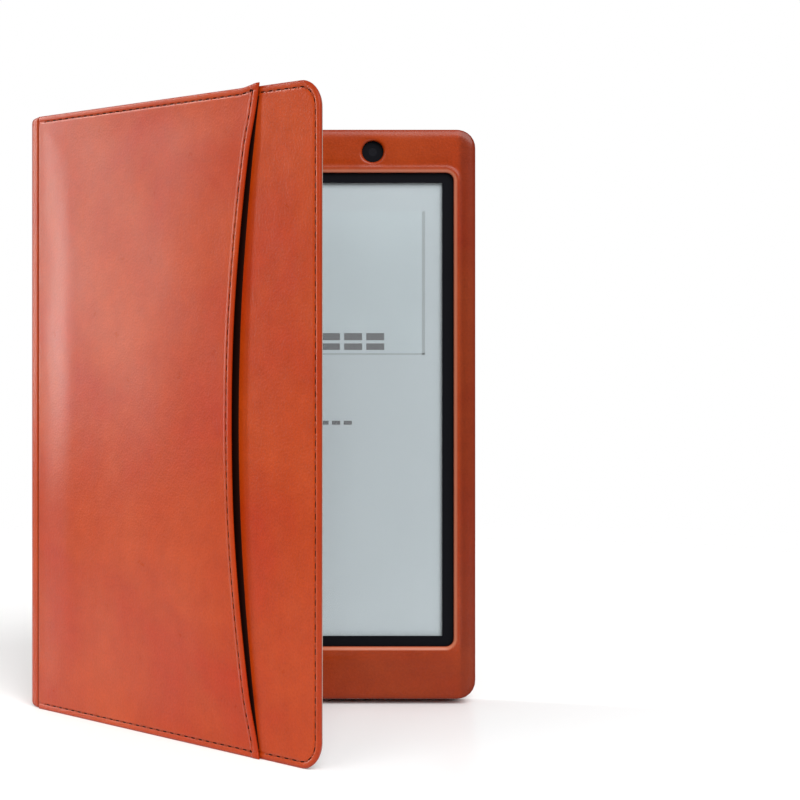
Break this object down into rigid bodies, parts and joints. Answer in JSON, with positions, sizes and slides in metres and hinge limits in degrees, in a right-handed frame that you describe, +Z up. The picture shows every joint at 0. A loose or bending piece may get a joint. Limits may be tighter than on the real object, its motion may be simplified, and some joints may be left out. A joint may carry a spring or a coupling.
{
  "type": "e-reader",
  "caption": "E-reader in an orange-brown leather folio: the reader sits in a framed sleeve with a large window, and a stitched cover with a curved outer pocket opens like a book.",
  "frame": {"origin": "centre of the standing, partly open folio's footprint, on the surface it stands on", "axes": "+Z up along the folds, +Y away from the reader's face, +X from the folds towards the holder's free side"},
  "size_m": [0.1556, 0.1214, 0.2042],
  "materials": {
    "leather": "smooth orange-brown coated leather, mottled, semi-gloss",
    "stiffener": "plain grey board",
    "lining": "fine brown microfibre",
    "thread": "twisted polyester thread",
    "magnet": "plated",
    "bezel": "matte black",
    "clear_film": "matte clear film",
    "led_strip": "white strip with yellow emitters",
    "screen": "matte grey-blue paper-like display",
    "panel_glass": "dark green-grey panel back",
    "adhesive": "black foam tape",
    "magnesium": "cast, matte",
    "circuit_board": "green solder mask",
    "plated_steel": "tin plated",
    "chip": "black moulded package",
    "battery_foil": "laminated foil pouch",
    "lead": "red and black insulated leads",
    "ribbon": "amber polyimide ribbon",
    "lens": "dark smoked lens",
    "copper": "thin foil",
    "screw_steel": "zinc plated",
    "shell": "fine-textured black"
  },
  "bodies": {
    "back": {"back_leather": "leather", "back_board": "stiffener", "back_lining": "lining", "frame_board": "stiffener", "frame_leather": "leather", "holder_left_wall": "leather", "holder_right_wall": "leather", "holder_bottom_wall": "leather"},
    "spine": {"spine_leather": "leather", "spine_board": "stiffener", "spine_lining": "lining"},
    "cover": {"cover_leather": "leather", "cover_board": "stiffener", "cover_lining": "lining", "pocket_panel": "leather", "cover_edge_thread": "thread", "pocket_mouth_thread": "thread", "spine_seam_thread": "thread", "sleep_magnets": "magnet"},
    "reader": {"front_bezel": "bezel", "touch_film": "clear_film", "light_guide": "clear_film", "light_strip": "led_strip", "ink_panel": "screen", "panel_backplane": "panel_glass", "panel_adhesive": "adhesive", "mid_frame": "magnesium", "main_board": "circuit_board", "processor_shield": "plated_steel", "memory_chip": "chip", "power_chip": "chip", "battery_cell": "battery_foil", "battery_lead": "lead", "display_flex": "ribbon", "touch_flex": "ribbon", "charging_socket": "plated_steel", "button_switch": "chip", "button_bracket": "plated_steel", "sensor_board": "circuit_board", "sensor_flex": "ribbon", "light_sensor": "chip", "sensor_lens": "lens", "wifi_antenna": "copper", "hall_sensor": "chip", "case_screws": "screw_steel", "board_screws": "screw_steel", "back_shell": "shell"},
    "button": {"power_button": "shell"}
  },
  "joints": [
    {"name": "spine_fold", "type": "hinge", "parent": "back", "child": "spine", "pos_m": [-0.07099, 0.05948, 0.1], "axis": [0, 0, -1], "range_deg": [-23, 157]},
    {"name": "cover_fold", "type": "hinge", "parent": "spine", "child": "cover", "pos_m": [-0.07661, 0.04623, 0.1], "axis": [0, 0, -1], "range_deg": [-22.5, 157.5]},
    {"name": "reader_slide", "type": "slide", "parent": "back", "child": "reader", "axis": [0, 0, 1], "range_m": [0, 0.2]},
    {"name": "power_button_press", "type": "slide", "parent": "reader", "child": "button", "axis": [0, 0, -1], "range_m": [0, 0.0004], "stiffness_N_per_m": 600, "springref_m": -0.0004}
  ]
}
